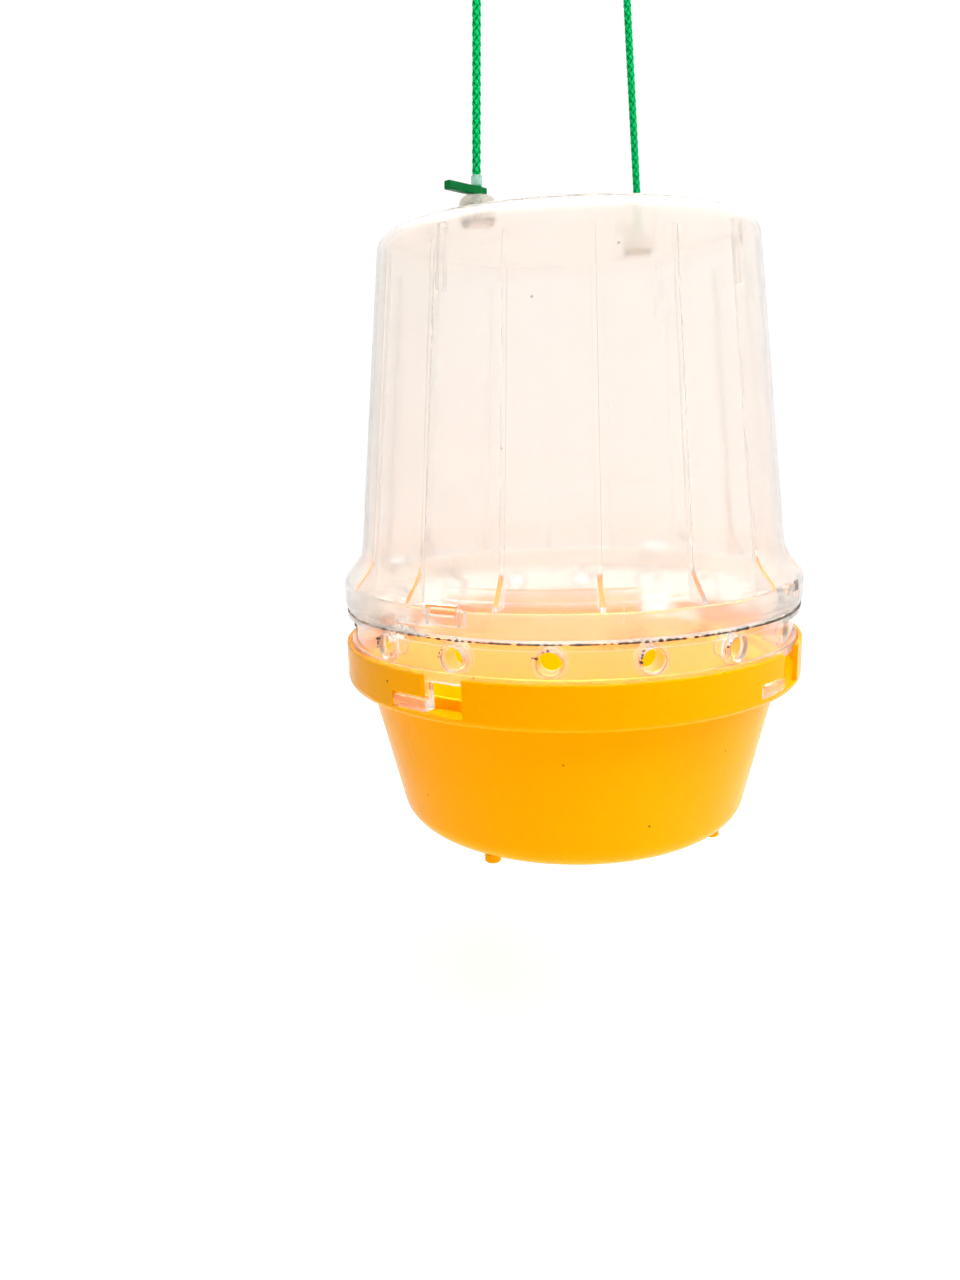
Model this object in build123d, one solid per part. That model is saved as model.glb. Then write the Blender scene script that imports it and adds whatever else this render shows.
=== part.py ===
from build123d import *
from itertools import pairwise
from math import atan2, cos, pi, radians, sin, sqrt, tan
import os

# Hanging wasp trap: a yellow bait bowl, an entry ring with sixteen entry holes and a tall clear dome,
# held together by two bayonets and hung by a cord from two posts on the dome.
# Millimetres. The origin is the point that the cord hangs from, straight above the middle, +Z up.
# The posts stand on the X axis, and the locking lugs lie on the X and Y axes.

# Cord, its sleeves and the toggles
cord_diameter = 3.0
cord_drop = 122.1  # from the hang point down to the cord's two ends
sleeve_diameter = 3.6
sleeve_length = 3.2
post_spacing = 93.2
bar_length = 17.0
bar_width = 2.8
bar_height = 2.7
bar_overhang = 1.6  # how far the bar runs past its stem
stem_diameter = 3.4
key_length = 8.4
key_width = 2.2
key_height = 1.9
key_drop = 0.3  # free height between the key and the post's roof
swivel_neck = 1.3
swivel_head = 2.0
swivel_height = 1.9
swivel_head_height = 0.7

# Hanger posts
post_diameter = 12.0
post_height = 6.6
post_roof = 2.0
post_floor = 1.2
post_wall = 1.1
post_edge = 2.5
spigot_diameter = 8.0
rivet_diameter = 10.6
rivet_height = 1.2

# Dome
dome_height = 133.5
dome_taper = 12.1  # how much the wall leans in, from the shoulder to the top
dome_neck_height = 19.5  # where the wall meets the shoulder
dome_skirt_height = 11.1
dome_foot_height = 3.0
skirt_overhang = 0.5  # how far the skirt stands past the entry ring's bead
skirt_draft = 0.8
shoulder_step = 7.1
dome_wall = 1.6
dome_top_corner = 6.0
shoulder_outer_corner = 7.0
shoulder_inner_corner = 12.5
rib_count = 16
rib_width = 1.6
rib_depth = 1.0
rib_top_margin = 9.0
stacking_rib_width = 3.0
stacking_rib_depth = 2.0
stacking_rib_length = 20.4
stacking_rib_top_margin = 4.5
stacking_rib_angle = 3.0

# Entry ring
ring_wall = 1.8
ring_flange_below = 2.7  # how far the lower flange reaches down into the collar
ring_flange_above = 1.1
flange_corner = 0.5
ring_bead_height = 2.1
ring_bead_overhang = 2.5
ring_neck_height = 8.9  # the part that stands inside the dome's skirt
ring_neck_step = 1.1

# Entry holes and their funnels
hole_count = 16
mouth_bore = 8.0
throat_bore = 7.2
mouth_wall = 0.5
throat_wall = 0.65
funnel_flange_margin = 1.5
funnel_flange_thickness = 0.9
funnel_reach = 7.6  # from the ring's outer face to the funnel's inner end
margin_below_hole = 0.3
margin_above_hole = 0.1

# Bowl and its collar
collar_radius = 88.0
collar_wall = 1.7
collar_depth = 16.0
collar_floor = 2.9
collar_corner = 3.0
channel_width = 1.8  # between the collar and the entry ring's wall
bowl_depth = 73.2
bowl_neck_gap = 2.8  # between the entry ring's wall and the top of the bowl's wall
bowl_taper = 13.3
bowl_base_corner = 10.9
bowl_wall = 1.8
bowl_lip_height = 4.0  # the inner lip above the channel's floor
foot_height = 2.3
foot_diameter = 6.0
foot_inset = 6.6

# Bayonets
lug_count = 4
lug_angle = 10.0
lug_height = 3.8
lug_floor_gap = 0.5
leg_angle = 2.3
unlock_turn = 9.5
window_head_gap = 1.2  # free height between a lug and the top of its window in the collar
upper_lug_angle = 8.4
upper_lug_height = 2.0
ledge_height = 3.0
window_bottom = 7.3  # above the dome's bottom edge
window_rise = 3.7
stop_angle = 1.2
skirt_notch = 0.8

# Clearances
turning_gap = 0.3
press_gap = 0.05
end_gap = 0.2
lug_side_gap = 0.25  # degrees

# Radii, from the collar in
collar_inner_radius = collar_radius - collar_wall
flange_radius = collar_inner_radius - turning_gap - 0.1
ring_radius = collar_inner_radius - channel_width
ring_inner_radius = ring_radius - ring_wall
neck_inner_radius = ring_inner_radius - ring_neck_step
neck_outer_radius = neck_inner_radius + ring_wall
ring_bead_radius = ring_radius + ring_bead_overhang
dome_skirt_radius = ring_bead_radius + skirt_overhang
skirt_inner_radius = dome_skirt_radius - dome_wall
dome_foot_radius = dome_skirt_radius - skirt_draft
dome_neck_radius = dome_skirt_radius - shoulder_step
dome_top_radius = dome_neck_radius - dome_taper
bowl_neck_radius = ring_inner_radius - bowl_neck_gap
bowl_base_radius = bowl_neck_radius - bowl_taper
foot_circle_radius = bowl_base_radius - foot_inset

# Funnels, and the heights above the collar's rim that they set
funnel_collar = mouth_bore + 2 * mouth_wall
funnel_flange = funnel_collar + 2 * funnel_flange_margin
funnel_tip = throat_bore + 2 * throat_wall
hole_height = ring_flange_above + margin_below_hole + funnel_collar / 2
ring_bead_bottom = hole_height + funnel_collar / 2 + margin_above_hole
lug_bottom = collar_depth - collar_floor - lug_floor_gap
window_height = lug_height + lug_floor_gap + window_head_gap

# Levels, from the hang point down
sleeve_top = -cord_drop
bar_top = sleeve_top - sleeve_length - end_gap
bar_bottom = bar_top - bar_height
post_top = bar_bottom - end_gap
dome_top = post_top - post_height
dome_foot = dome_top - dome_height
bead_top = dome_foot - turning_gap
rim = bead_top - ring_bead_bottom - ring_bead_height

hole_pitch = 360 / hole_count
lug_pitch = 360 / lug_count


def outline(points):
    """A closed face in the XZ plane from points of (radius, height, corner radius)."""
    corners = [corner for _, _, corner in points]
    return make_face(FilletPolyline(*[(r, 0, z) for r, z, _ in points], radius=corners, close=True))


def turned(points):
    """The solid that an outline sweeps in a full turn about the Z axis."""
    return revolve(outline(points), axis=Axis.Z)


def inset(points, wall):
    """An open outline moved a wall's thickness to the left of the way it runs, mitred at its corners.

    A corner that turns left tightens by the wall, and one that turns right opens by it.
    """
    headings = [atan2(z2 - z1, r2 - r1) for (r1, z1, _), (r2, z2, _) in pairwise(points)]
    moved = []
    for (r, z, corner), before, after in zip(points, headings[:1] + headings, headings + headings[-1:]):
        turn = (after - before + pi) % (2 * pi) - pi
        along = before + turn / 2 + pi / 2
        reach = wall / cos(turn / 2)
        eased = corner and max(corner - wall if turn > 0 else corner + wall, 0)
        moved.append((r + reach * cos(along), z + reach * sin(along), eased))
    return moved


def arc_block(inner, outer, bottom, top, centre, width):
    """A block between two radii and two heights, width degrees round the axis, centred at an angle."""
    section = outline([(inner, bottom, 0), (outer, bottom, 0), (outer, top, 0), (inner, top, 0)])
    return Rot(0, 0, centre - width / 2) * revolve(section, axis=Axis.Z, revolution_arc=width)


def around(count, start=0.0):
    """The angles of a pattern of count places evenly round the axis."""
    return [start + k * 360 / count for k in range(count)]


def dome_outline():
    """The dome's outer line, from its bottom edge up and in to the axis."""
    return [
        (dome_foot_radius, dome_foot, 0),
        (dome_skirt_radius, dome_foot + dome_foot_height, 1.5),
        (dome_skirt_radius, dome_foot + dome_skirt_height, shoulder_outer_corner),
        (dome_neck_radius, dome_foot + dome_neck_height, shoulder_inner_corner),
        (dome_top_radius, dome_top, dome_top_corner),
        (0, dome_top, 0),
    ]


def dome_ribs(width, depth, top, bottom, angles):
    """Ribs inside the dome's wall at some angles round the axis, straight down past its shoulder."""
    lining = inset(dome_outline(), dome_wall / 2)
    band = turned([*lining, (0, lining[0][1], 0)])
    (neck, neck_height, _), *rest = inset(dome_outline()[3:], dome_wall + depth)
    lean = (neck - rest[0][0]) / (rest[0][1] - neck_height)
    core = turned([(neck + lean * (neck_height - dome_foot), dome_foot, 0), *rest, (0, dome_foot, 0)])
    middle = Pos((dome_top_radius + dome_skirt_radius) / 2, 0, (top + bottom) / 2)
    reach = dome_skirt_radius - dome_top_radius + 2 * (dome_wall + depth)
    blade = middle * Box(reach, width, top - bottom)
    return Part() + [Rot(0, 0, angle) * blade & band - core for angle in angles]


def make_dome():
    outer = dome_outline()
    inner = inset(outer, dome_wall)
    inner[0] = (inner[0][0], dome_foot, 0)
    body = turned([*outer, *reversed(inner)])
    rib_bottom = dome_foot + window_bottom + upper_lug_height + turning_gap
    body += dome_ribs(rib_width, rib_depth, dome_top - rib_top_margin, rib_bottom, around(rib_count))
    stacking_top = dome_top - stacking_rib_top_margin
    body += dome_ribs(stacking_rib_width, stacking_rib_depth, stacking_top,
                      stacking_top - stacking_rib_length, around(lug_count, stacking_rib_angle))
    ledge_top = dome_foot + window_bottom - turning_gap
    ledge_inner = neck_outer_radius + turning_gap
    for angle in around(lug_count, unlock_turn):
        body += arc_block(ledge_inner, skirt_inner_radius + dome_wall / 2, ledge_top - ledge_height,
                          ledge_top, angle, upper_lug_angle)
        stop = angle + (upper_lug_angle + stop_angle) / 2 + lug_side_gap
        body += arc_block(ledge_inner, skirt_inner_radius + dome_wall / 2, ledge_top - ledge_height,
                          ledge_top + upper_lug_height, stop, stop_angle)
        body -= arc_block(skirt_inner_radius - 3, dome_skirt_radius + 1, dome_foot + window_bottom,
                          dome_foot + window_bottom + window_rise, angle, upper_lug_angle)
        body -= arc_block(neck_outer_radius, dome_skirt_radius + 1, dome_foot - 1,
                          dome_foot + skirt_notch, angle, upper_lug_angle)
    for x in (-post_spacing / 2, post_spacing / 2):
        body -= Pos(x, 0, dome_top) * Cylinder(spigot_diameter / 2 + press_gap, 4 * dome_wall)
    return body


def make_post(x):
    """A hollow post with a keyed roof, riveted through the dome's top by a spigot."""
    radius = post_diameter / 2
    under = dome_top - dome_wall - press_gap
    body = turned([
        (0, under - rivet_height, 0),
        (rivet_diameter / 2, under - rivet_height, 0.5),
        (rivet_diameter / 2, under, 0),
        (spigot_diameter / 2, under, 0),
        (spigot_diameter / 2, dome_top, 0),
        (radius, dome_top, 0),
        (radius, post_top, post_edge),
        (0, post_top, 0),
    ])
    cavity_height = post_height - post_roof - post_floor
    cavity = Cylinder(radius - post_wall, cavity_height, align=(Align.CENTER, Align.CENTER, Align.MIN))
    body -= Pos(0, 0, dome_top + post_floor) * cavity
    through = Pos(0, 0, post_top - post_roof / 2)
    body -= through * Cylinder(stem_diameter / 2 + turning_gap, 2 * post_roof)
    body -= through * Box(key_width + 2 * turning_gap, key_length + 2 * turning_gap, 2 * post_roof)
    return Pos(x, 0, 0) * body


def make_toggle(x):
    """A stem with a key under the post's roof, an L-shaped bar on top, and a pin for the sleeve."""
    key_top = post_top - post_roof - key_drop
    stem_height = bar_top - key_top + key_height
    stem = Cylinder(stem_diameter / 2, stem_height, align=(Align.CENTER, Align.CENTER, Align.MIN))
    body = Pos(0, 0, key_top - key_height) * stem
    key = Pos(0, 0, key_top - key_height / 2) * Box(key_length, key_width, key_height)
    body += key & Pos(0, 0, key_top) * Cylinder(key_length / 2, 4 * key_height)
    bar = Box(bar_length, bar_width, bar_height)
    bar = fillet(bar.edges().filter_by(Axis.X), bar_width / 5)
    centre = stem_diameter / 2 + bar_overhang - bar_length / 2
    body += Pos(centre, 0, bar_top - bar_height / 2) * bar
    body += turned([
        (0, bar_top - bar_height / 2, 0),
        (swivel_neck / 2, bar_top - bar_height / 2, 0),
        (swivel_neck / 2, bar_top + swivel_height - swivel_head_height, 0),
        (swivel_head / 2, bar_top + swivel_height - swivel_head_height, 0),
        (swivel_head / 2, bar_top + swivel_height, 0),
        (0, bar_top + swivel_height, 0),
    ])
    return Pos(x, 0, 0) * body


def make_sleeve(x):
    """A ferrule on the cord's end, hollow below for the toggle's swivel pin."""
    gap = turning_gap / 2
    bottom = bar_top + end_gap
    shelf = bar_top + swivel_height - swivel_head_height - gap
    crown = bar_top + swivel_height + gap
    return Pos(x, 0, 0) * turned([
        (swivel_neck / 2 + gap, bottom, 0),
        (sleeve_diameter / 2, bottom, 0.3),
        (sleeve_diameter / 2, sleeve_top, 0.3),
        (0, sleeve_top, 0),
        (0, crown, 0),
        (swivel_head / 2 + gap, crown, 0),
        (swivel_head / 2 + gap, shelf, 0),
        (swivel_neck / 2 + gap, shelf, 0),
    ])


def cord_route():
    """Up from the left sleeve, over the support at the origin and down to the right one."""
    return [
        (-post_spacing / 2, 0, sleeve_top),
        (-41.7, 0, -21.0),
        (-19.3, 0, 0.9),
        (12.0, 0, 1.8),
        (35.6, 0, -18.8),
        (post_spacing / 2, 0, sleeve_top),
    ]


def bend_radii(route):
    """Each corner's radius: 0.45 of its shorter run over the tangent of half its turn."""
    points = [Vector(*point) for point in route]
    runs = [b - a for a, b in pairwise(points)]
    return [
        0.45 * min(a.length, b.length) / tan(radians(a.get_angle(b)) / 2) for a, b in pairwise(runs)
    ]


def make_cord():
    route = cord_route()
    radii = bend_radii(route)
    path = FilletPolyline(*route, radius=radii)
    section = Plane(origin=path @ 0, z_dir=path % 0) * Circle(cord_diameter / 2)
    cord = sweep(section, path=path)
    expected = pi * cord_diameter ** 2 / 4 * path.length
    print("cord length", round(path.length, 1), "bend radii", [round(r, 1) for r in radii],
          "volume ratio", round(cord.volume / expected, 4))
    return cord


def make_ring():
    flange_bottom = rim - ring_flange_below
    bead_bottom = rim + ring_bead_bottom
    neck_top = bead_top + ring_neck_height
    body = turned([
        (flange_radius, flange_bottom, flange_corner),
        (flange_radius, rim + ring_flange_above, flange_corner),
        (ring_radius, rim + ring_flange_above, 0),
        (ring_radius, bead_bottom, 0.4),
        (ring_bead_radius, bead_bottom, 0.5),
        (ring_bead_radius, bead_top, 0.5),
        (neck_outer_radius, bead_top, 0),
        (neck_outer_radius, neck_top, 0.5),
        (neck_inner_radius, neck_top, 0.5),
        (neck_inner_radius, bead_top + ring_neck_step / 2, 0),
        (ring_inner_radius, bead_top - ring_neck_step / 2, 0),
        (ring_inner_radius, flange_bottom, 0),
    ])
    hole = Rot(0, 90, 0) * Cylinder(funnel_collar / 2 + press_gap, 6 * ring_wall)
    for angle in around(hole_count, hole_pitch / 2):
        body -= Rot(0, 0, angle) * Pos(ring_radius, 0, rim + hole_height) * hole
    leg_inner = ring_inner_radius + turning_gap
    lug_outer = collar_radius - end_gap / 2
    lug_floor = rim - lug_bottom
    lugs = []
    for angle in around(lug_count):
        leg = arc_block(leg_inner, flange_radius - flange_corner, lug_floor + lug_height / 2,
                        flange_bottom + 1, angle + (lug_angle - leg_angle) / 2, leg_angle)
        lugs.append(leg + arc_block(leg_inner, lug_outer, lug_floor, lug_floor + lug_height,
                                    angle, lug_angle))
    upper_bottom = dome_foot + window_bottom
    for angle in around(lug_count, unlock_turn):
        lugs.append(arc_block(neck_outer_radius - ring_wall / 2, skirt_inner_radius - turning_gap,
                              upper_bottom, upper_bottom + upper_lug_height, angle, upper_lug_angle))
    return body + lugs


def make_funnel(angle):
    """A short tapered tube through one entry hole, with a flange behind the ring's wall."""
    seat = sqrt(ring_inner_radius ** 2 - (funnel_flange / 2) ** 2) - press_gap
    tip = ring_radius - funnel_reach
    back = seat - funnel_flange_thickness
    profile = make_face(Polyline(
        (tip, throat_bore / 2),
        (ring_radius + 1, mouth_bore / 2),
        (ring_radius + 1, funnel_collar / 2),
        (seat, funnel_collar / 2),
        (seat, funnel_flange / 2),
        (back, funnel_flange / 2),
        (back, funnel_collar / 2),
        (tip, funnel_tip / 2),
        close=True,
    ))
    body = revolve(profile, axis=Axis.X)
    flush = Cylinder(ring_radius, 2 * funnel_flange)
    return Rot(0, 0, angle) * Pos(0, 0, rim + hole_height) * (body & flush)


def make_bowl():
    base = rim - bowl_depth
    under = rim - collar_depth
    floor = under + collar_floor
    wall_line = [(0, base, 0), (bowl_base_radius, base, bowl_base_corner), (bowl_neck_radius, under, 0)]
    inner = inset(wall_line, bowl_wall)
    lip_inner = bowl_neck_radius - bowl_wall / 2
    lip_top = floor + bowl_lip_height
    body = turned([
        *wall_line[:2],
        (bowl_neck_radius, under, 1.2),
        (collar_radius, under, collar_corner),
        (collar_radius, rim, 0.5),
        (collar_inner_radius, rim, 0.5),
        (collar_inner_radius, floor, 0.4),
        (lip_inner + bowl_wall, floor, 0.4),
        (lip_inner + bowl_wall, lip_top, 0.5),
        (lip_inner, lip_top, 0.5),
        (lip_inner, floor, 0),
        *reversed(inner),
    ])
    slot_angle = lug_angle + 2 * lug_side_gap
    window_angle = slot_angle + unlock_turn + lug_side_gap
    cut_inner = (collar_inner_radius + lip_inner + bowl_wall) / 2
    for angle in around(lug_count):
        right = angle + unlock_turn + slot_angle / 2
        body -= arc_block(cut_inner, collar_radius + 1, floor, rim + 1, right - slot_angle / 2, slot_angle)
        body -= arc_block(cut_inner, collar_radius + 1, floor, floor + window_height,
                          right - window_angle / 2, window_angle)
    base_inner = base + bowl_wall / 2
    for angle in around(lug_count, unlock_turn):
        foot = Cylinder(foot_diameter / 2, base_inner - base + foot_height,
                        align=(Align.CENTER, Align.CENTER, Align.MIN))
        foot = chamfer(foot.edges().group_by(Axis.Z)[0], 0.4)
        body += Rot(0, 0, angle) * Pos(foot_circle_radius, 0, base - foot_height) * foot
    return body


nodes = {
    "dome": make_dome(),
    "left_hanger_post": make_post(-post_spacing / 2),
    "right_hanger_post": make_post(post_spacing / 2),
    "left_toggle": make_toggle(-post_spacing / 2),
    "right_toggle": make_toggle(post_spacing / 2),
    "left_cord_sleeve": make_sleeve(-post_spacing / 2),
    "right_cord_sleeve": make_sleeve(post_spacing / 2),
    "hanging_cord": make_cord(),
    "entry_ring": make_ring(),
    "bowl": make_bowl(),
}
for number, angle in enumerate(around(hole_count, hole_pitch / 2), start=1):
    nodes[f"entry_funnel_{number:02d}"] = make_funnel(angle)

os.makedirs("parts", exist_ok=True)
for name, shape in nodes.items():
    export_step(shape, f"parts/{name}.step")
print("levels: dome top", round(dome_top, 2), "rim", round(rim, 2),
      "feet", round(rim - bowl_depth - foot_height, 2))
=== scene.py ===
"""Wasp trap: finishes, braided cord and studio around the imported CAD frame, laid out as an add-on."""

import bpy
import numpy as np
from mathutils import Euler, Matrix, Vector


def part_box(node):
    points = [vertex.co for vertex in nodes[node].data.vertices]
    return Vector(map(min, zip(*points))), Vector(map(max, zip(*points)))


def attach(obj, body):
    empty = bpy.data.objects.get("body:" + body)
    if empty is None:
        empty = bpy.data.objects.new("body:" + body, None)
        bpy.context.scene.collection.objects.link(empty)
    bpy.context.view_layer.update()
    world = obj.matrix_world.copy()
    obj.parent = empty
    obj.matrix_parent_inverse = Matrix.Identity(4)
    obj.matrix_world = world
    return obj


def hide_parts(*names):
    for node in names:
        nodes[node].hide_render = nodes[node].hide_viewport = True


bl_info = {
    "name": "Wasp Trap",
    "version": (1, 0, 0),
    "blender": (4, 5, 0),
    "location": "View3D > Sidebar > Wasp Trap",
    "description": "Dresses a hanging wasp trap with clear and yellow plastic, a braided cord and a studio",
    "category": "Object",
}

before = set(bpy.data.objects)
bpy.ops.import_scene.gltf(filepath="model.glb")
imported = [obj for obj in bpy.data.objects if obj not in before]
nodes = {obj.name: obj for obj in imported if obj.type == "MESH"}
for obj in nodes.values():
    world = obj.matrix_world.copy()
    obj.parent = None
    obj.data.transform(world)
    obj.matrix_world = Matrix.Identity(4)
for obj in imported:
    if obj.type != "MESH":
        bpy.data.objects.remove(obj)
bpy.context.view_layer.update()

MM = 0.001
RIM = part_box("bowl")[1].z  # top of the bowl's collar
DOME_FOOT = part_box("dome")[0].z
COLLAR_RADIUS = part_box("bowl")[1].x
SLEEVE_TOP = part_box("left_cord_sleeve")[1].z
POST_X = (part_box("right_cord_sleeve")[0].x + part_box("right_cord_sleeve")[1].x) / 2
HOLE_COUNT = len([name for name in nodes if name.startswith("entry_funnel")])
HOLE_HEIGHT = (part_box("entry_funnel_01")[0].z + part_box("entry_funnel_01")[1].z) / 2
HOLE_EDGE = 4.3 * MM  # from a hole's middle to where crumbs start
WALL_RADIUS = COLLAR_RADIUS - 3.5 * MM
JOINT_RADIUS = COLLAR_RADIUS - 1.1 * MM
JOINT_LEVEL = DOME_FOOT - 0.15 * MM
CLEAR_IOR = 1.22  # lower than the plastic's real index, for softer edges

# The braid, as shares of the cord's radius
STRAND_ORBIT = 0.66  # a strand's mean distance from the cord's middle
WEAVE_DEPTH = 0.15  # how far it swells out over a crossing and dips under the next
STRAND_HALF_WIDTH = 0.42
STRAND_HALF_THICKNESS = 0.18
CORE_RADIUS = 0.6


# Properties ---------------------------------------------------------------------------------


def colour(name, description, default):
    """A colour property with its alpha left out."""
    return bpy.props.FloatVectorProperty(
        name=name, description=description, default=default, subtype="COLOR", size=3, min=0, max=1
    )


def length(name, description, default):
    """A length property in metres."""
    return bpy.props.FloatProperty(
        name=name, description=description, default=default, min=0, unit="LENGTH", precision=5
    )


class TrapPlastics(bpy.types.PropertyGroup):
    clear: colour("Clear plastic", "Tint of the dome's milky plastic", (0.94, 0.917, 0.888))
    ring: colour("Ring plastic", "Tint of the entry ring and its funnels", (0.99, 0.97, 0.93))
    post: colour("Post plastic", "Pale grey tint of the hanger posts", (0.9, 0.87, 0.82))
    bowl: colour("Bowl", "Deep yellow of the bait bowl", (1.0, 0.44, 0.0))
    toggle: colour("Toggle", "Dark green of the toggles", (0.0, 0.34, 0.055))
    sleeve: colour("Sleeve", "Pale mint of the cord's sleeves", (0.6, 0.97, 0.84))
    dirt: colour("Dirt", "Grime in the joint and specks", (0.035, 0.03, 0.02))


class TrapCord(bpy.types.PropertyGroup):
    diameter: length("Diameter", "Diameter of the braided cord", 0.003)
    stitch: length("Stitch", "Distance from one stitch to the next along the cord", 0.0029)
    strands: bpy.props.IntProperty(
        name="Strands", description="Strands that wind each way", default=4, min=2, max=8
    )
    # Painted highlight: the turquoise laid on each strand's crown where light glints
    crown_highlight: colour("Crown", "Turquoise green where a strand comes to the surface", (0.0, 0.58, 0.15))
    # Painted shade: the deep green laid in the valleys where a strand dives under
    valley_shade: colour("Valley", "Deep green where a strand dives under", (0.0, 0.06, 0.01))


class TrapGrime(bpy.types.PropertyGroup):
    crease_width: length("Crease width", "Thickest dirt in the joint under the dome", 0.0006)
    crumb_size: length("Crumb size", "Radius of the largest crumb", 0.0007)
    crumbs_per_hole: bpy.props.IntProperty(
        name="Crumbs per hole", description="Crumbs of dirt beside each entry hole", default=7, min=1
    )
    crease_steps: bpy.props.IntProperty(
        name="Crease steps", description="Rings of points round the joint", default=1800, min=90
    )
    seed: bpy.props.IntProperty(name="Seed", description="Start of the random draws", default=11)


class TrapStage(bpy.types.PropertyGroup):
    lens: bpy.props.FloatProperty(
        name="Lens", description="Focal length on a 36 mm sensor", default=26.72, min=1
    )
    distance: length("Distance", "From the trap's axis to the camera", 0.3723)
    height: length("Height", "Camera above the collar's rim", 0.0791)
    azimuth: bpy.props.FloatProperty(
        name="Azimuth", description="Where the camera stands round the trap", default=np.radians(-51.9),
        subtype="ANGLE",
    )
    yaw: bpy.props.FloatProperty(
        name="Yaw", description="Camera turned from the axis", default=np.radians(5.53), subtype="ANGLE"
    )
    pitch: bpy.props.FloatProperty(
        name="Pitch", description="Camera tipped down", default=np.radians(12.65), subtype="ANGLE"
    )
    roll: bpy.props.FloatProperty(
        name="Roll", description="Camera rolled to the right", default=np.radians(1.84), subtype="ANGLE"
    )
    floor_drop: length("Floor drop", "Floor below the trap's feet", 0.11)
    zenith: bpy.props.FloatProperty(
        name="Zenith", description="How bright the sky is overhead", default=21.0, min=0
    )
    dim_side: bpy.props.FloatProperty(
        name="Dim side", description="How bright the sky is on the shaded side", default=0.12, min=0
    )
    fill: bpy.props.FloatProperty(
        name="Fill", description="Light from the sky's open side", default=0.62, min=0
    )
    backdrop: bpy.props.FloatProperty(
        name="Backdrop", description="Sky seen at eye level", default=1.03, min=0
    )


# Mesh helpers -------------------------------------------------------------------------------


def grid_faces(rows, columns, wrap_rows=False, start=0):
    """Quads over rows of points that close on themselves; on request the last row joins the first."""
    r, c = np.meshgrid(np.arange(rows if wrap_rows else rows - 1), np.arange(columns), indexing="ij")
    r2, c2 = (r + 1) % rows, (c + 1) % columns
    quads = np.stack([r2 * columns + c, r2 * columns + c2, r * columns + c2, r * columns + c], axis=-1)
    return quads.reshape(-1, 4) + start


def mesh_object(name, points, faces, attributes=None):
    """A smooth mesh object from an array of points and an array of quads, with point attributes."""
    mesh = bpy.data.meshes.new(name)
    mesh.vertices.add(len(points))
    mesh.vertices.foreach_set("co", np.ascontiguousarray(points, np.float32).ravel())
    sides = faces.shape[1]
    mesh.loops.add(faces.size)
    mesh.loops.foreach_set("vertex_index", faces.ravel().astype(np.int32))
    mesh.polygons.add(len(faces))
    mesh.polygons.foreach_set("loop_start", np.arange(0, faces.size, sides, dtype=np.int32))
    mesh.polygons.foreach_set("use_smooth", np.ones(len(faces), bool))
    for key, values in (attributes or {}).items():
        mesh.attributes.new(key, "FLOAT", "POINT").data.foreach_set("value", values.astype(np.float32))
    mesh.update(calc_edges=True)
    mesh.validate()
    made = bpy.data.objects.new(name, mesh)
    bpy.context.scene.collection.objects.link(made)
    return made


def repaint(node, material):
    """Puts a finished material in a CAD node's own slot."""
    nodes[node].material_slots[0].material = material


# Shader helpers -----------------------------------------------------------------------------


class Tree:
    """A few short words for building a node tree."""

    def __init__(self, tree):
        self.tree = tree

    def add(self, kind, inputs=None, **settings):
        node = self.tree.nodes.new(kind)
        for key, value in settings.items():
            setattr(node, key, value)
        for key, value in (inputs or {}).items():
            self.put(node.inputs[key], value)
        return node

    def put(self, socket, value):
        if isinstance(value, bpy.types.NodeSocket):
            self.tree.links.new(value, socket)
        elif socket.type == "RGBA" and len(value) == 3:
            socket.default_value = (*value, 1)
        else:
            socket.default_value = value

    def noise(self, where, scale, detail=2.0, roughness=0.5, stretch=(1, 1, 1)):
        moved = self.add("ShaderNodeMapping", {"Vector": where, "Scale": stretch})
        made = self.add("ShaderNodeTexNoise", {
            "Vector": moved.outputs[0], "Scale": scale, "Detail": detail, "Roughness": roughness})
        return made.outputs["Fac"]

    def spread(self, value, low, high, to_low=0.0, to_high=1.0):
        made = self.add("ShaderNodeMapRange", {
            "Value": value, "From Min": low, "From Max": high, "To Min": to_low, "To Max": to_high})
        return made.outputs["Result"]

    def maths(self, operation, a, b):
        made = self.add("ShaderNodeMath", {0: a, 1: b}, operation=operation)
        return made.outputs[0]

    def mix(self, factor, a, b):
        made = self.add("ShaderNodeMix", data_type="RGBA")
        self.put(made.inputs[0], factor)
        self.put(made.inputs[6], a)
        self.put(made.inputs[7], b)
        return made.outputs[2]


def shader_group(name, inputs, outputs):
    """An empty shader node group with float inputs and outputs, and its two end nodes."""
    group = bpy.data.node_groups.new(name, "ShaderNodeTree")
    for key, default in inputs.items():
        socket = group.interface.new_socket(name=key, in_out="INPUT", socket_type="NodeSocketFloat")
        socket.default_value = default
    for key in outputs:
        group.interface.new_socket(name=key, in_out="OUTPUT", socket_type="NodeSocketFloat")
    tree = Tree(group)
    return group, tree, tree.add("NodeGroupInput"), tree.add("NodeGroupOutput")


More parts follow.
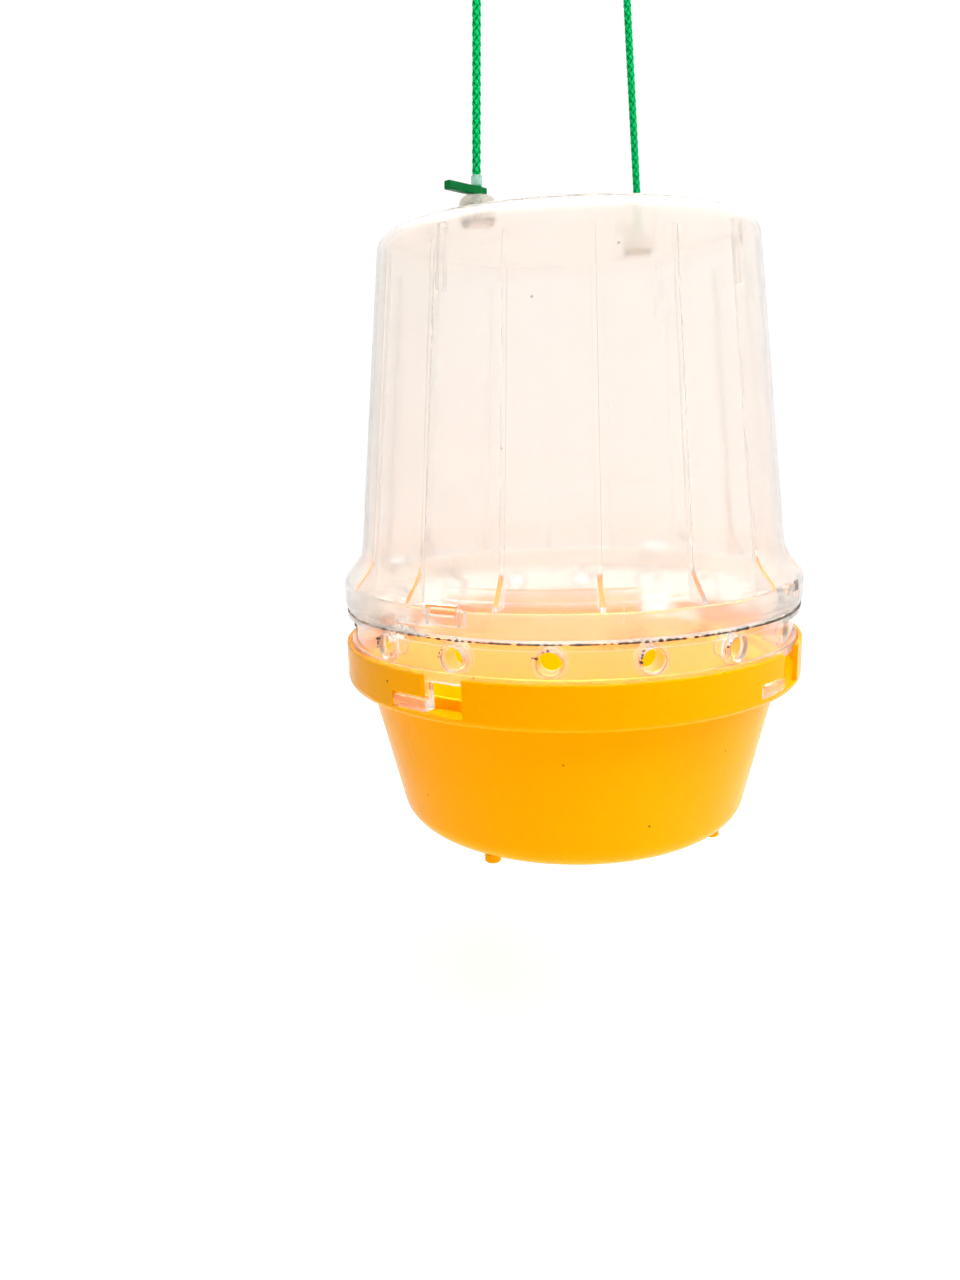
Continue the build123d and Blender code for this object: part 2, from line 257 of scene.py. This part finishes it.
def scuff_group():
    """Handled plastic: fine scratches, soft rubbed patches and mould flow, as roughness and height."""
    if "Handled plastic" in bpy.data.node_groups:
        return bpy.data.node_groups["Handled plastic"]
    group, tree, given, put = shader_group(
        "Handled plastic", {"Polish": 0.1, "Wear": 0.5}, ("Roughness", "Height")
    )
    place = tree.add("ShaderNodeTexCoord").outputs["Object"]
    rubbed = tree.spread(tree.noise(place, 26, 4, 0.6), 0.45, 0.7)
    scratches = tree.spread(tree.noise(place, 240, 3, 0.6, (1, 1, 0.06)), 0.62, 0.72)
    flow = tree.noise(place, 9, 2, 0.5, (1, 1, 0.4))
    grain = tree.noise(place, 900, 2)
    worn = tree.maths("MULTIPLY", tree.maths("MULTIPLY", rubbed, scratches), given.outputs["Wear"])
    haze = tree.maths("MULTIPLY", rubbed, given.outputs["Wear"])
    rough = tree.maths("ADD", given.outputs["Polish"], tree.maths("MULTIPLY", haze, 0.12))
    rough = tree.maths("ADD", rough, tree.maths("MULTIPLY", worn, 0.35))
    height = tree.maths("ADD", tree.maths("MULTIPLY", flow, 0.6), tree.maths("MULTIPLY", grain, 0.02))
    tree.put(put.inputs["Roughness"], rough)
    tree.put(put.inputs["Height"], tree.maths("SUBTRACT", height, tree.maths("MULTIPLY", worn, 0.1)))
    return group


def grime_group():
    """Grime: a mask of dirt that gathers in patches near one level, with fine specks all over."""
    if "Grime" in bpy.data.node_groups:
        return bpy.data.node_groups["Grime"]
    group, tree, given, put = shader_group(
        "Grime", {"Level": 0.0, "Reach": 0.002, "Smudge": 0.5, "Specks": 0.5}, ("Mask",)
    )
    place = tree.add("ShaderNodeTexCoord").outputs["Object"]
    height = tree.add("ShaderNodeSeparateXYZ", {"Vector": place}).outputs["Z"]
    away = tree.maths("ABSOLUTE", tree.maths("SUBTRACT", height, given.outputs["Level"]), 0.0)
    near = tree.maths("SUBTRACT", 1.0, tree.maths("DIVIDE", away, given.outputs["Reach"]))
    patches = tree.spread(tree.noise(place, 38, 2), 0.5, 0.64)
    crumbs = tree.spread(tree.noise(place, 900, 3, 0.7), 0.42, 0.62)
    smudge = tree.maths("MULTIPLY", tree.maths("MULTIPLY", tree.maths("MAXIMUM", near, 0.0), patches), crumbs)
    cells = tree.add("ShaderNodeTexVoronoi", {"Vector": place, "Scale": 115.0}).outputs
    keep = tree.add("ShaderNodeSeparateXYZ", {"Vector": cells["Color"]}).outputs["X"]
    size = tree.spread(keep, 0.6, 1.0, 0.0, 0.06)
    speck = tree.maths("LESS_THAN", cells["Distance"], size)
    total = tree.maths("ADD", tree.maths("MULTIPLY", smudge, given.outputs["Smudge"]),
                       tree.maths("MULTIPLY", speck, given.outputs["Specks"]))
    tree.put(put.inputs["Mask"], tree.maths("MINIMUM", total, 1.0))
    return group


def plastic(name, tint, shade, polish, wear, bump=0.0004, dirt=None, drift=(1, 1, 1), **sockets):
    """A Principled plastic whose tint drifts towards shade in soft clouds, with handled-plastic wear.

    The drift stretches the clouds. The dirt is its colour, the level where it gathers, how far it reaches
    and how strong its smudges and specks are.
    """
    if name in bpy.data.materials:
        return bpy.data.materials[name]
    material = bpy.data.materials.new(name)
    material.use_nodes = True
    tree = Tree(material.node_tree)
    bsdf = material.node_tree.nodes["Principled BSDF"]
    wear_node = tree.add("ShaderNodeGroup", {}, node_tree=scuff_group())
    wear_node.inputs["Polish"].default_value = polish
    wear_node.inputs["Wear"].default_value = wear
    place = tree.add("ShaderNodeTexCoord").outputs["Object"]
    clouds = tree.spread(tree.noise(place, 14, 3, 0.5, drift), 0.35, 0.7)
    finish = tree.mix(clouds, tint, shade)
    if dirt:
        soil, *values = dirt
        grime = tree.add("ShaderNodeGroup", {}, node_tree=grime_group())
        for key, value in zip(("Level", "Reach", "Smudge", "Specks"), values):
            grime.inputs[key].default_value = value
        finish = tree.mix(grime.outputs["Mask"], finish, soil)
    tree.put(bsdf.inputs["Base Color"], finish)
    tree.put(bsdf.inputs["Roughness"], wear_node.outputs["Roughness"])
    lift = tree.add("ShaderNodeBump", {
        "Height": wear_node.outputs["Height"], "Distance": bump, "Strength": 0.6})
    tree.put(bsdf.inputs["Normal"], lift.outputs[0])
    for key, value in sockets.items():
        bsdf.inputs[key.replace("_", " ")].default_value = value
    return material


# Cord ---------------------------------------------------------------------------------------


def cord_route():
    """The cord's control points, in metres: up from the left sleeve, over the hang point and down again."""
    return np.array([
        (-POST_X, 0, SLEEVE_TOP),
        (-0.0426, 0, -0.039),
        (-0.0417, 0, -0.021),
        (-0.0193, 0, 0.0009),
        (0.012, 0, 0.0018),
        (0.0356, 0, -0.0188),
        (0.0375, 0, -0.0367),
        (POST_X, 0, SLEEVE_TOP),
    ])


def smooth_line(points, step):
    """Points read from the route's NURBS spline and spaced evenly along it."""
    curve = bpy.data.curves.new("route", "CURVE")
    curve.dimensions = "3D"
    spline = curve.splines.new("NURBS")
    spline.points.add(len(points) - 1)
    spline.points.foreach_set("co", np.c_[points, np.ones(len(points))].ravel())
    spline.order_u = 3
    spline.use_endpoint_u = True
    spline.resolution_u = 48
    made = bpy.data.objects.new("route", curve)
    mesh = bpy.data.meshes.new_from_object(made)
    line = np.zeros(len(mesh.vertices) * 3)
    mesh.vertices.foreach_get("co", line)
    line = line.reshape(-1, 3)
    bpy.data.meshes.remove(mesh)
    bpy.data.curves.remove(curve)
    run = np.concatenate([[0], np.cumsum(np.linalg.norm(np.diff(line, axis=0), axis=1))])
    at = np.linspace(0, run[-1], int(run[-1] / step) + 1)
    return np.stack([np.interp(at, run, line[:, k]) for k in range(3)], axis=1), at


def side_axes(line):
    """Two unit vectors across a line that lies in the XZ plane, at each of its points."""
    along = np.gradient(line, axis=0)
    along /= np.linalg.norm(along, axis=1)[:, None]
    across = np.tile([0.0, 1.0, 0.0], (len(line), 1))
    return across, np.cross(along, across)


def braid_strand(line, at, settings, number, hand):
    """One strand: an oval carried along a helix that swells outward over one crossing and dips at the next.

    The helix turns once in stitch x strands, and meets one of the other hand every half stitch. Its radius
    follows a cosine of one stitch, turned over for the other hand: over one strand, then under one.
    """
    radius = settings.diameter / 2
    pitch = settings.stitch * settings.strands
    turn = hand * 2 * np.pi * at / pitch + 2 * np.pi * number / settings.strands
    weave = hand * np.cos(2 * np.pi * at / settings.stitch)
    centre = radius * (STRAND_ORBIT + WEAVE_DEPTH * weave)
    across, over = side_axes(line)
    out = np.cos(turn)[:, None] * across + np.sin(turn)[:, None] * over
    middle = line + centre[:, None] * out
    heading = np.gradient(middle, axis=0)
    heading /= np.linalg.norm(heading, axis=1)[:, None]
    wide = np.cross(heading, out)
    wide /= np.linalg.norm(wide, axis=1)[:, None]
    round_ = np.linspace(0, 2 * np.pi, 10, endpoint=False)
    oval = (np.cos(round_)[None, :, None] * wide[:, None] * radius * STRAND_HALF_WIDTH
            + np.sin(round_)[None, :, None] * out[:, None] * radius * STRAND_HALF_THICKNESS)
    points = middle[:, None] + oval
    # A strand's reach out from the core, passed on as the mask for the cord's painted highlight and painted
    # shade
    reach = np.linalg.norm(points - line[:, None], axis=2) / radius
    return points, (reach - CORE_RADIUS) / (1 - CORE_RADIUS)


def tube_faces(rows, columns, start):
    """The quads of a tube of rings, with both ends closed by fans of quads that share one corner."""
    faces = grid_faces(rows, columns, start=start)
    ring = np.arange(1, columns - 1, 2)
    cap = np.stack([np.zeros_like(ring), ring, ring + 1, (ring + 2) % columns], axis=1)
    last = (rows - 1) * columns
    return np.concatenate([faces, cap + start, cap[:, ::-1] + start + last])


class TRAP_OT_cord(bpy.types.Operator):
    bl_idname = "trap.cord"
    bl_label = "Braided Cord"

    def execute(self, context):
        settings = context.scene.trap_cord
        line, at = smooth_line(cord_route(), settings.stitch / 8)
        points, heights, faces, start = [], [], [], 0
        strands = [(k, hand) for hand in (-1, 1) for k in range(settings.strands)]
        for number, hand in strands:
            grid, height = braid_strand(line, at, settings, number, hand)
            points.append(grid.reshape(-1, 3))
            heights.append(height.ravel())
            faces.append(tube_faces(*grid.shape[:2], start))
            start += len(points[-1])
        across, over = side_axes(line)
        round_ = np.linspace(0, 2 * np.pi, 12, endpoint=False)
        core = line[:, None] + settings.diameter / 2 * CORE_RADIUS * (
            np.cos(round_)[None, :, None] * over[:, None] + np.sin(round_)[None, :, None] * across[:, None])
        points.append(core.reshape(-1, 3))
        heights.append(np.zeros(core.shape[0] * core.shape[1]))
        faces.append(tube_faces(*core.shape[:2], start))
        # The height attribute carries the mask for the painted highlight on the crowns and the painted shade
        # in the valleys
        cord = mesh_object("hanging_cord_braid", np.concatenate(points), np.concatenate(faces),
                           attributes={"height": np.clip(np.concatenate(heights), 0, 1)})
        cord.data.materials.append(cord_material(settings))
        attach(cord, "dome")
        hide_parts("hanging_cord")
        return {"FINISHED"}


def cord_material(settings):
    """Shiny green filament yarn with fine fibres: painted shade darkens the valleys and a turquoise painted
    highlight lies on the crowns.
    """
    material = bpy.data.materials.new("green_braid")
    material.use_nodes = True
    tree = Tree(material.node_tree)
    bsdf = material.node_tree.nodes["Principled BSDF"]
    height = tree.add("ShaderNodeAttribute", attribute_name="height").outputs["Fac"]
    place = tree.add("ShaderNodeTexCoord").outputs["Object"]
    fibre = tree.noise(place, 2600, 2, 0.6, (1, 1, 0.25))
    # Painted highlight mask: a strand's reach out from the core, broken up by the fibres; low values give the
    # painted shade
    glint = tree.spread(tree.maths("ADD", height, tree.maths("MULTIPLY", fibre, 0.4)), 0.45, 1.12)
    tree.put(bsdf.inputs["Base Color"], tree.mix(glint, tuple(settings.valley_shade), tuple(settings.crown_highlight)))
    bsdf.inputs["Roughness"].default_value = 0.42
    bsdf.inputs["Specular IOR Level"].default_value = 0.04
    lift = tree.add("ShaderNodeBump", {"Height": fibre, "Distance": 0.00008, "Strength": 0.8})
    tree.put(bsdf.inputs["Normal"], lift.outputs[0])
    return material


# Plastic pieces -----------------------------------------------------------------------------


class TRAP_OT_cover(bpy.types.Operator):
    """Finishes the dome and its two hanger posts in clear plastic"""

    bl_idname = "trap.cover"
    bl_label = "Clear Cover"

    def execute(self, context):
        tints = context.scene.trap_plastics
        clear = plastic("milky_clear", tuple(tints.clear), (0.935, 0.9, 0.865), 0.12, 0.5,
                        dirt=(tuple(tints.dirt), DOME_FOOT + 2 * MM, 6 * MM, 0.5, 0.7), drift=(2, 2, 0.08),
                        Transmission_Weight=0.89, IOR=CLEAR_IOR)
        grey = plastic("thick_clear", tuple(tints.post), (0.84, 0.8, 0.74), 0.25, 0.4,
                       Transmission_Weight=0.7, IOR=1.3)
        repaint("dome", clear)
        for side in ("left", "right"):
            repaint(f"{side}_hanger_post", grey)
        return {"FINISHED"}


class TRAP_OT_entry(bpy.types.Operator):
    """Finishes the entry ring and its funnels"""

    bl_idname = "trap.entry"
    bl_label = "Entry Ring"

    def execute(self, context):
        tints = context.scene.trap_plastics
        ring = plastic("ring_clear", tuple(tints.ring), (0.98, 0.95, 0.9), 0.1, 0.4,
                       dirt=(tuple(tints.dirt), DOME_FOOT - MM, 1.6 * MM, 0.6, 0.8),
                       Transmission_Weight=0.9, IOR=CLEAR_IOR)
        for name in nodes:
            if name.startswith("entry_"):
                repaint(name, ring)
        return {"FINISHED"}


class TRAP_OT_bowl(bpy.types.Operator):
    """Finishes the yellow bait bowl"""

    bl_idname = "trap.bowl"
    bl_label = "Bait Bowl"

    def execute(self, context):
        tints = context.scene.trap_plastics
        amber = plastic("amber_bowl", tuple(tints.bowl), (1.0, 0.4, 0.0), 0.22, 0.5,
                        dirt=(tuple(tints.dirt), RIM - 14 * MM, 3 * MM, 0.0, 0.8),
                        Subsurface_Weight=0.5, Subsurface_Scale=0.002,
                        Subsurface_Radius=(1.0, 0.6, 0.1), IOR=1.48, Specular_IOR_Level=0.05,
                        Specular_Tint=(1.0, 0.7, 0.0, 1.0))
        repaint("bowl", amber)
        return {"FINISHED"}


class TRAP_OT_toggles(bpy.types.Operator):
    """Finishes the two toggles and the cord's sleeves"""

    bl_idname = "trap.toggles"
    bl_label = "Toggles"

    def execute(self, context):
        tints = context.scene.trap_plastics
        green = plastic("bottle_green", tuple(tints.toggle), (0.0, 0.12, 0.03), 0.15, 0.4,
                        Transmission_Weight=0.1, IOR=1.49, Specular_IOR_Level=0.04)
        mint = plastic("mint_sleeve", tuple(tints.sleeve), (0.52, 0.86, 0.72), 0.2, 0.3,
                       Transmission_Weight=0.5, IOR=1.47)
        for side in ("left", "right"):
            repaint(f"{side}_toggle", green)
            repaint(f"{side}_cord_sleeve", mint)
        return {"FINISHED"}


class TRAP_OT_grime(bpy.types.Operator):
    """Lays the line of dirt in the joint under the dome, and the crumbs by the entry holes"""

    bl_idname = "trap.grime"
    bl_label = "Grime"

    def execute(self, context):
        settings = context.scene.trap_grime
        soil = plastic("dry_dirt", tuple(context.scene.trap_plastics.dirt), (0.09, 0.075, 0.05), 0.8, 0.2)
        line = mesh_object("joint_dirt", *self.crease(settings))
        crumbs = mesh_object("hole_crumbs", *self.crumbs(settings))
        for piece in (line, crumbs):
            piece.data.materials.append(soil)
            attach(piece, "entry_ring")
        return {"FINISHED"}

    def crease(self, settings):
        """A closed tube round the joint: its radius is a sum of cosines with random phases, cut off below."""
        draw = np.random.default_rng(settings.seed)
        turn = np.linspace(0, 2 * np.pi, settings.crease_steps, endpoint=False)
        waves = draw.integers(5, 260, 60)
        phases = draw.uniform(0, 2 * np.pi, 60)
        wave = np.cos(waves * turn[:, None] + phases).sum(axis=1) / np.sqrt(30)
        slow = np.cos(np.array([1, 3, 4]) * turn[:, None] + draw.uniform(0, 2 * np.pi, 3)).sum(axis=1) / 3
        thick = settings.crease_width * np.clip(0.35 + 0.4 * slow + 0.25 * wave, 0.06, 1)
        round_ = np.linspace(0, 2 * np.pi, 6, endpoint=False)
        radius = JOINT_RADIUS + 0.4 * thick[:, None] * np.cos(round_)
        height = JOINT_LEVEL + thick[:, None] * np.sin(round_) + 0.05 * MM * wave[:, None]
        x, y = radius * np.cos(turn)[:, None], radius * np.sin(turn)[:, None]
        points = np.stack([x, y, height], axis=-1).reshape(-1, 3)
        return points, grid_faces(len(turn), len(round_), wrap_rows=True)

    def crumbs(self, settings):
        """Small lumps on the ring's wall by each hole: balls of two angles whose radius wavers at random.

        Each ball stops short of its poles and is closed there by a small flat end.
        """
        draw = np.random.default_rng(settings.seed + 1)
        count = HOLE_COUNT * settings.crumbs_per_hole
        hole = np.repeat(np.arange(HOLE_COUNT), settings.crumbs_per_hole)
        around = draw.normal(2.5, 0.55, count)
        off = draw.uniform(HOLE_EDGE, HOLE_EDGE + 1.3 * MM, count)
        turn = 2 * np.pi * (hole + 0.5) / HOLE_COUNT + off * np.cos(around) / WALL_RADIUS
        level = HOLE_HEIGHT + off * np.sin(around)
        size = settings.crumb_size * draw.uniform(0.2, 1, count) ** 2
        rows, columns = 5, 8
        tip, side = np.meshgrid(np.linspace(0.35, np.pi - 0.35, rows),
                                np.linspace(0, 2 * np.pi, columns, endpoint=False), indexing="ij")
        waver = 1 + 0.3 * draw.standard_normal((count, 1, columns)) * np.sin(tip)
        ball = np.stack([np.sin(tip) * np.cos(side), np.sin(tip) * np.sin(side), np.cos(tip)], axis=-1)
        ball = ball * (size[:, None, None] * np.clip(waver, 0.5, 1.5))[..., None]
        ball[..., 2] *= 0.8
        centre = np.stack([WALL_RADIUS * np.cos(turn), WALL_RADIUS * np.sin(turn), level], axis=-1)
        points = (ball + centre[:, None, None]).reshape(-1, 3)
        starts = range(0, len(points), rows * columns)
        return points, np.concatenate([tube_faces(rows, columns, start) for start in starts])


# Stage --------------------------------------------------------------------------------------


class TRAP_OT_stage(bpy.types.Operator):
    """Sets the camera, a white floor, the sky light and the studio lamps"""

    bl_idname = "trap.stage"
    bl_label = "Studio"

    def execute(self, context):
        scene, stage = context.scene, context.scene.trap_stage
        data = bpy.data.cameras.new("camera")
        data.lens, data.sensor_width, data.sensor_fit = stage.lens, 36, "AUTO"
        data.clip_start = 0.01
        camera = bpy.data.objects.new("camera", data)
        scene.collection.objects.link(camera)
        place = Vector((stage.distance * np.sin(stage.azimuth), -stage.distance * np.cos(stage.azimuth),
                        RIM + stage.height))
        heading = Euler((np.pi / 2 - stage.pitch, 0, stage.azimuth + stage.yaw)).to_matrix()
        turn = heading @ Euler((0, 0, -stage.roll)).to_matrix()
        camera.matrix_world = Matrix.Translation(place) @ turn.to_4x4()
        scene.camera = camera
        self.floor(stage)
        self.lamps(scene, stage)
        scene.view_settings.view_transform = "Standard"
        return {"FINISHED"}

    def floor(self, stage):
        """A wide round white floor below the hanging trap: rings of points, level."""
        rings = np.array([0.001, 0.5, 1.5, 4.0])
        turn = np.linspace(0, 2 * np.pi, 48, endpoint=False)
        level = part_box("bowl")[0].z - stage.floor_drop
        x = rings[:, None] * np.cos(turn)
        y = rings[:, None] * np.sin(turn)
        grid = np.stack([x, y, np.full_like(x, level)], axis=-1)
        faces = grid_faces(len(rings), len(turn))
        floor = mesh_object("studio_floor", grid.reshape(-1, 3), faces)
        material = bpy.data.materials.new("white_paper")
        material.use_nodes = True
        tree = Tree(material.node_tree)
        bsdf = material.node_tree.nodes["Principled BSDF"]
        place = tree.add("ShaderNodeTexCoord").outputs["Object"]
        paper = tree.spread(tree.noise(place, 60, 3), 0.3, 0.7)
        tree.put(bsdf.inputs["Base Color"], tree.mix(paper, (0.8, 0.8, 0.8), (0.83, 0.83, 0.83)))
        bsdf.inputs["Roughness"].default_value = 0.9
        bsdf.inputs["Emission Color"].default_value = (1, 1, 1, 1)
        bsdf.inputs["Emission Strength"].default_value = 0.6
        floor.data.materials.append(material)

    def lamps(self, scene, stage):
        """A sky that each kind of ray sees at its own strength, and three lamps that face the trap."""
        world = bpy.data.worlds.new("studio_sky")
        scene.world = world
        world.use_nodes = True
        tree = Tree(world.node_tree)
        sky = world.node_tree.nodes["Background"]
        way = tree.add("ShaderNodeTexCoord").outputs["Generated"]
        up = tree.add("ShaderNodeSeparateXYZ", {"Vector": way}).outputs["Z"]
        side = tree.add("ShaderNodeVectorMath", {0: way, 1: (-0.82, 0.57, 0)}, operation="DOT_PRODUCT")
        path = tree.add("ShaderNodeLightPath").outputs
        seen = tree.maths("MAXIMUM", path["Is Camera Ray"], path["Is Transmission Ray"])
        backdrop = tree.spread(up, 0.65, 0.98, stage.backdrop, stage.zenith)
        dim = tree.spread(side.outputs["Value"], -0.15, 0.7, stage.fill, stage.dim_side)
        dim = tree.maths("MAXIMUM", dim, path["Is Glossy Ray"])
        strength = tree.add("ShaderNodeMix", {0: seen, 2: dim, 3: backdrop}, data_type="FLOAT")
        tree.put(sky.inputs["Strength"], strength.outputs[0])
        sky.inputs["Color"].default_value = (1, 1, 1, 1)
        middle = Vector((0, 0, RIM + 0.03))
        for name, offset, size, watts in (
            ("overhead", (-0.3, -0.3, 0.85), 0.7, 5.0),
            ("key", (0.1, -0.6, 0.5), 0.35, 1.9),
            ("edge", (0.69, -0.17, 0.2), 0.3, 0.15),
        ):
            data = bpy.data.lights.new(name, "AREA")
            data.energy, data.size = watts, size
            lamp = bpy.data.objects.new(name, data)
            scene.collection.objects.link(lamp)
            lamp.location = middle + Vector(offset)
            lamp.rotation_euler = (middle - lamp.location).to_track_quat("-Z", "Y").to_euler()
            lamp.visible_glossy = lamp.visible_transmission = name == "overhead"


# Panel and registration ---------------------------------------------------------------------

GROUPS = ("trap_plastics", "trap_cord", "trap_grime", "trap_stage")
OPERATORS = (TRAP_OT_stage, TRAP_OT_cord, TRAP_OT_cover, TRAP_OT_entry, TRAP_OT_bowl, TRAP_OT_toggles,
             TRAP_OT_grime)


class TRAP_PT_panel(bpy.types.Panel):
    """The trap's pieces, one button each"""

    bl_idname = "TRAP_PT_panel"
    bl_label = "Wasp Trap"
    bl_space_type = "VIEW_3D"
    bl_region_type = "UI"
    bl_category = "Wasp Trap"

    def draw(self, context):
        for operator in OPERATORS:
            self.layout.operator(operator.bl_idname)
        for group in GROUPS:
            settings = getattr(context.scene, group)
            for key in settings.__annotations__:
                self.layout.prop(settings, key)


CLASSES = (TrapPlastics, TrapCord, TrapGrime, TrapStage, *OPERATORS, TRAP_PT_panel)


def register():
    for made in CLASSES:
        bpy.utils.register_class(made)
    bpy.types.Scene.trap_plastics = bpy.props.PointerProperty(type=TrapPlastics)
    bpy.types.Scene.trap_cord = bpy.props.PointerProperty(type=TrapCord)
    bpy.types.Scene.trap_grime = bpy.props.PointerProperty(type=TrapGrime)
    bpy.types.Scene.trap_stage = bpy.props.PointerProperty(type=TrapStage)


def unregister():
    for group in GROUPS:
        delattr(bpy.types.Scene, group)
    for made in reversed(CLASSES):
        bpy.utils.unregister_class(made)


def main():
    register()
    for operator in OPERATORS:
        group, name = operator.bl_idname.split(".")
        getattr(getattr(bpy.ops, group), name)()


if __name__ == "__main__":
    main()
